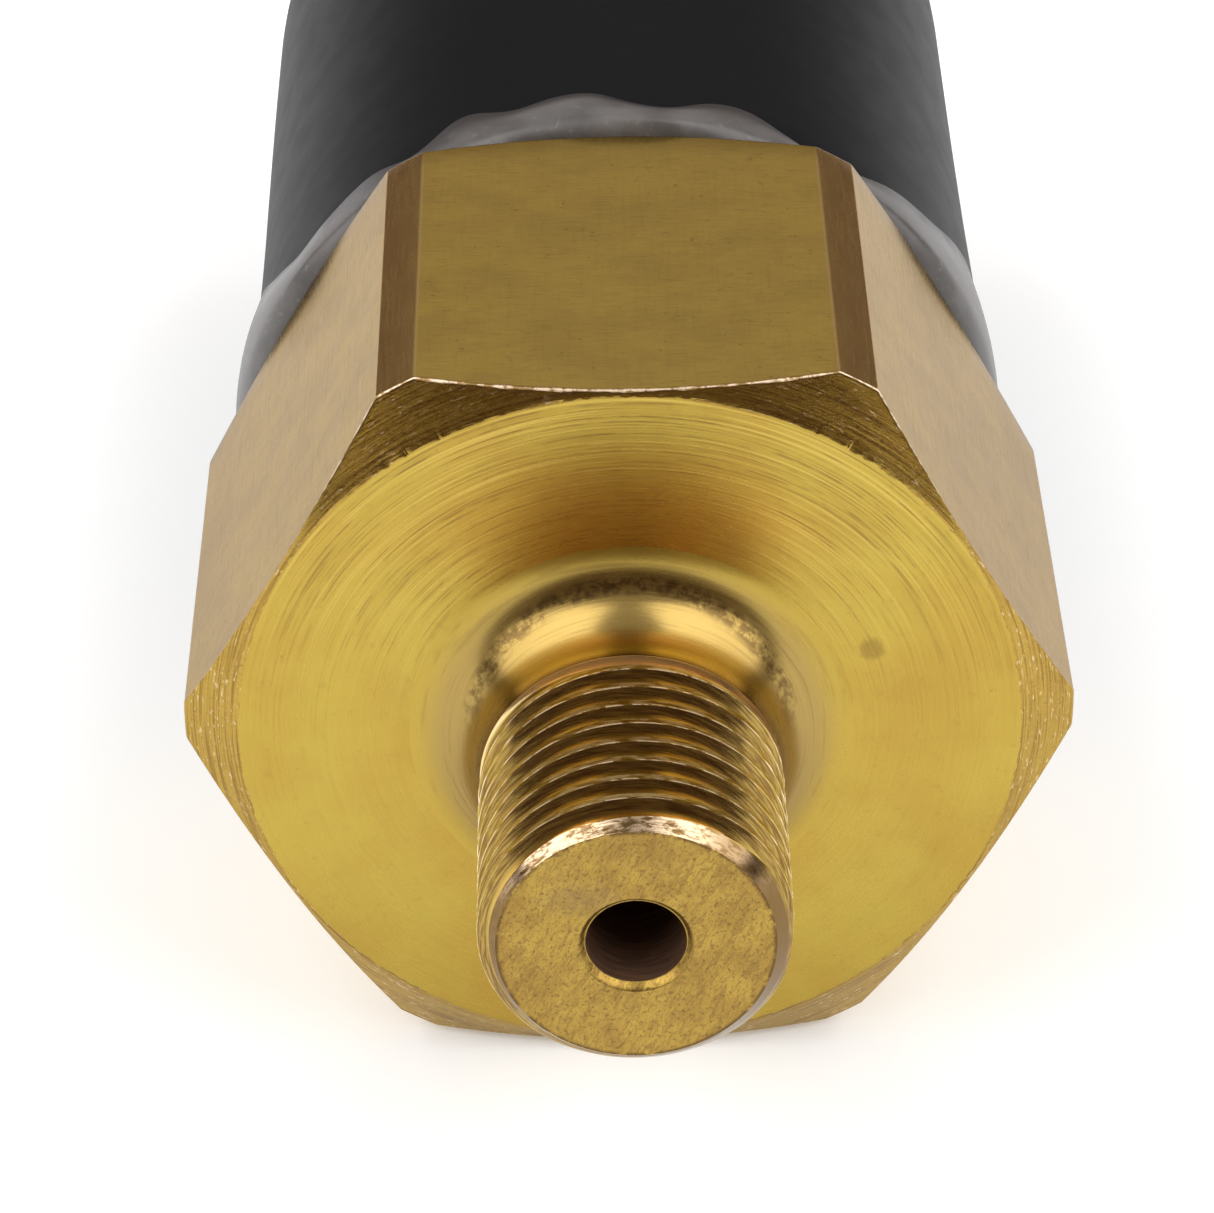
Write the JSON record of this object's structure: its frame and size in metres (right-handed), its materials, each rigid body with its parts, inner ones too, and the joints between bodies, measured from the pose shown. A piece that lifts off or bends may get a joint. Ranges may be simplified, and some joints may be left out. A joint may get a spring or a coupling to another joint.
{
  "type": "pressure switch",
  "caption": "Adjustable pressure switch: threaded brass stud and hex body, black boot over a steel sleeve, blade terminals and a slotted set-point screw at the rear.",
  "frame": {"origin": "on the switch's axis, in the plane of the hex's front face, where it seats on a port", "axes": "-Y points out along the threaded stud, +Y along the axis to the blade terminals, +Z out of the middle of a hex flat, +X through a hex corner"},
  "size_m": [0.0298, 0.0746, 0.0272],
  "materials": {
    "body_brass": "turned and milled bare brass, lightly stained",
    "plated_steel": "zinc-plated steel",
    "spring_steel": "drawn spring steel",
    "boot_rubber": "smooth black, satin gloss",
    "clear_sealant": "cloudy grey, slightly see-through, smooth",
    "nitrile": "matt black",
    "diaphragm_film": "amber film",
    "terminal_brass": "stamped brass strip",
    "bushing_brass": "turned brass",
    "contact_silver": "bright silver alloy",
    "contact_copper": "stamped copper",
    "nylon": "natural nylon",
    "phenolic": "moulded phenolic, near black",
    "fibre_liner": "pressed fibre"
  },
  "bodies": {
    "housing": {"hex_body": "body_brass", "housing_sleeve": "plated_steel", "cover_boot": "boot_rubber", "sealant_bead": "clear_sealant", "chamber_o_ring": "nitrile", "diaphragm": "diaphragm_film", "diaphragm_clamp_ring": "plated_steel", "guide_plate": "plated_steel", "guide_retaining_ring": "spring_steel", "fixed_contact_left": "contact_silver", "fixed_contact_right": "contact_silver", "terminal_left": "terminal_brass", "terminal_right": "terminal_brass", "insulating_liner": "fibre_liner", "range_spring": "spring_steel", "adjuster_bushing": "bushing_brass", "adjuster_clip": "spring_steel", "terminal_base": "phenolic", "base_gasket": "nitrile"},
    "plunger": {"pressure_disc": "bushing_brass", "plunger_rod": "plated_steel", "contact_carrier": "nylon", "contact_spring": "spring_steel", "contact_bridge": "contact_copper", "moving_contact_left": "contact_silver", "moving_contact_right": "contact_silver", "carrier_clip": "spring_steel", "lower_spring_seat": "nylon"},
    "spring_nut": {"travelling_nut": "bushing_brass"},
    "adjuster": {"adjuster_screw": "bushing_brass"}
  },
  "joints": [
    {"name": "plunger_slide", "type": "slide", "parent": "housing", "child": "plunger", "axis": [0, 1, 0], "range_m": [0, 0.0008], "stiffness_N_per_m": 300, "deforming": ["diaphragm"]},
    {"name": "adjuster_turn", "type": "hinge", "parent": "housing", "child": "adjuster", "pos_m": [0, 0.05, 0], "axis": [0, 1, 0], "range_deg": [-720, 720]},
    {"name": "nut_travel", "type": "slide", "parent": "housing", "child": "spring_nut", "axis": [0, 1, 0], "range_m": [-0.0014, 0.0014], "deforming": ["range_spring"]}
  ],
  "couplings": [
    {"joint": "adjuster_turn", "follows": "nut_travel", "rad_per_m": -8976}
  ]
}
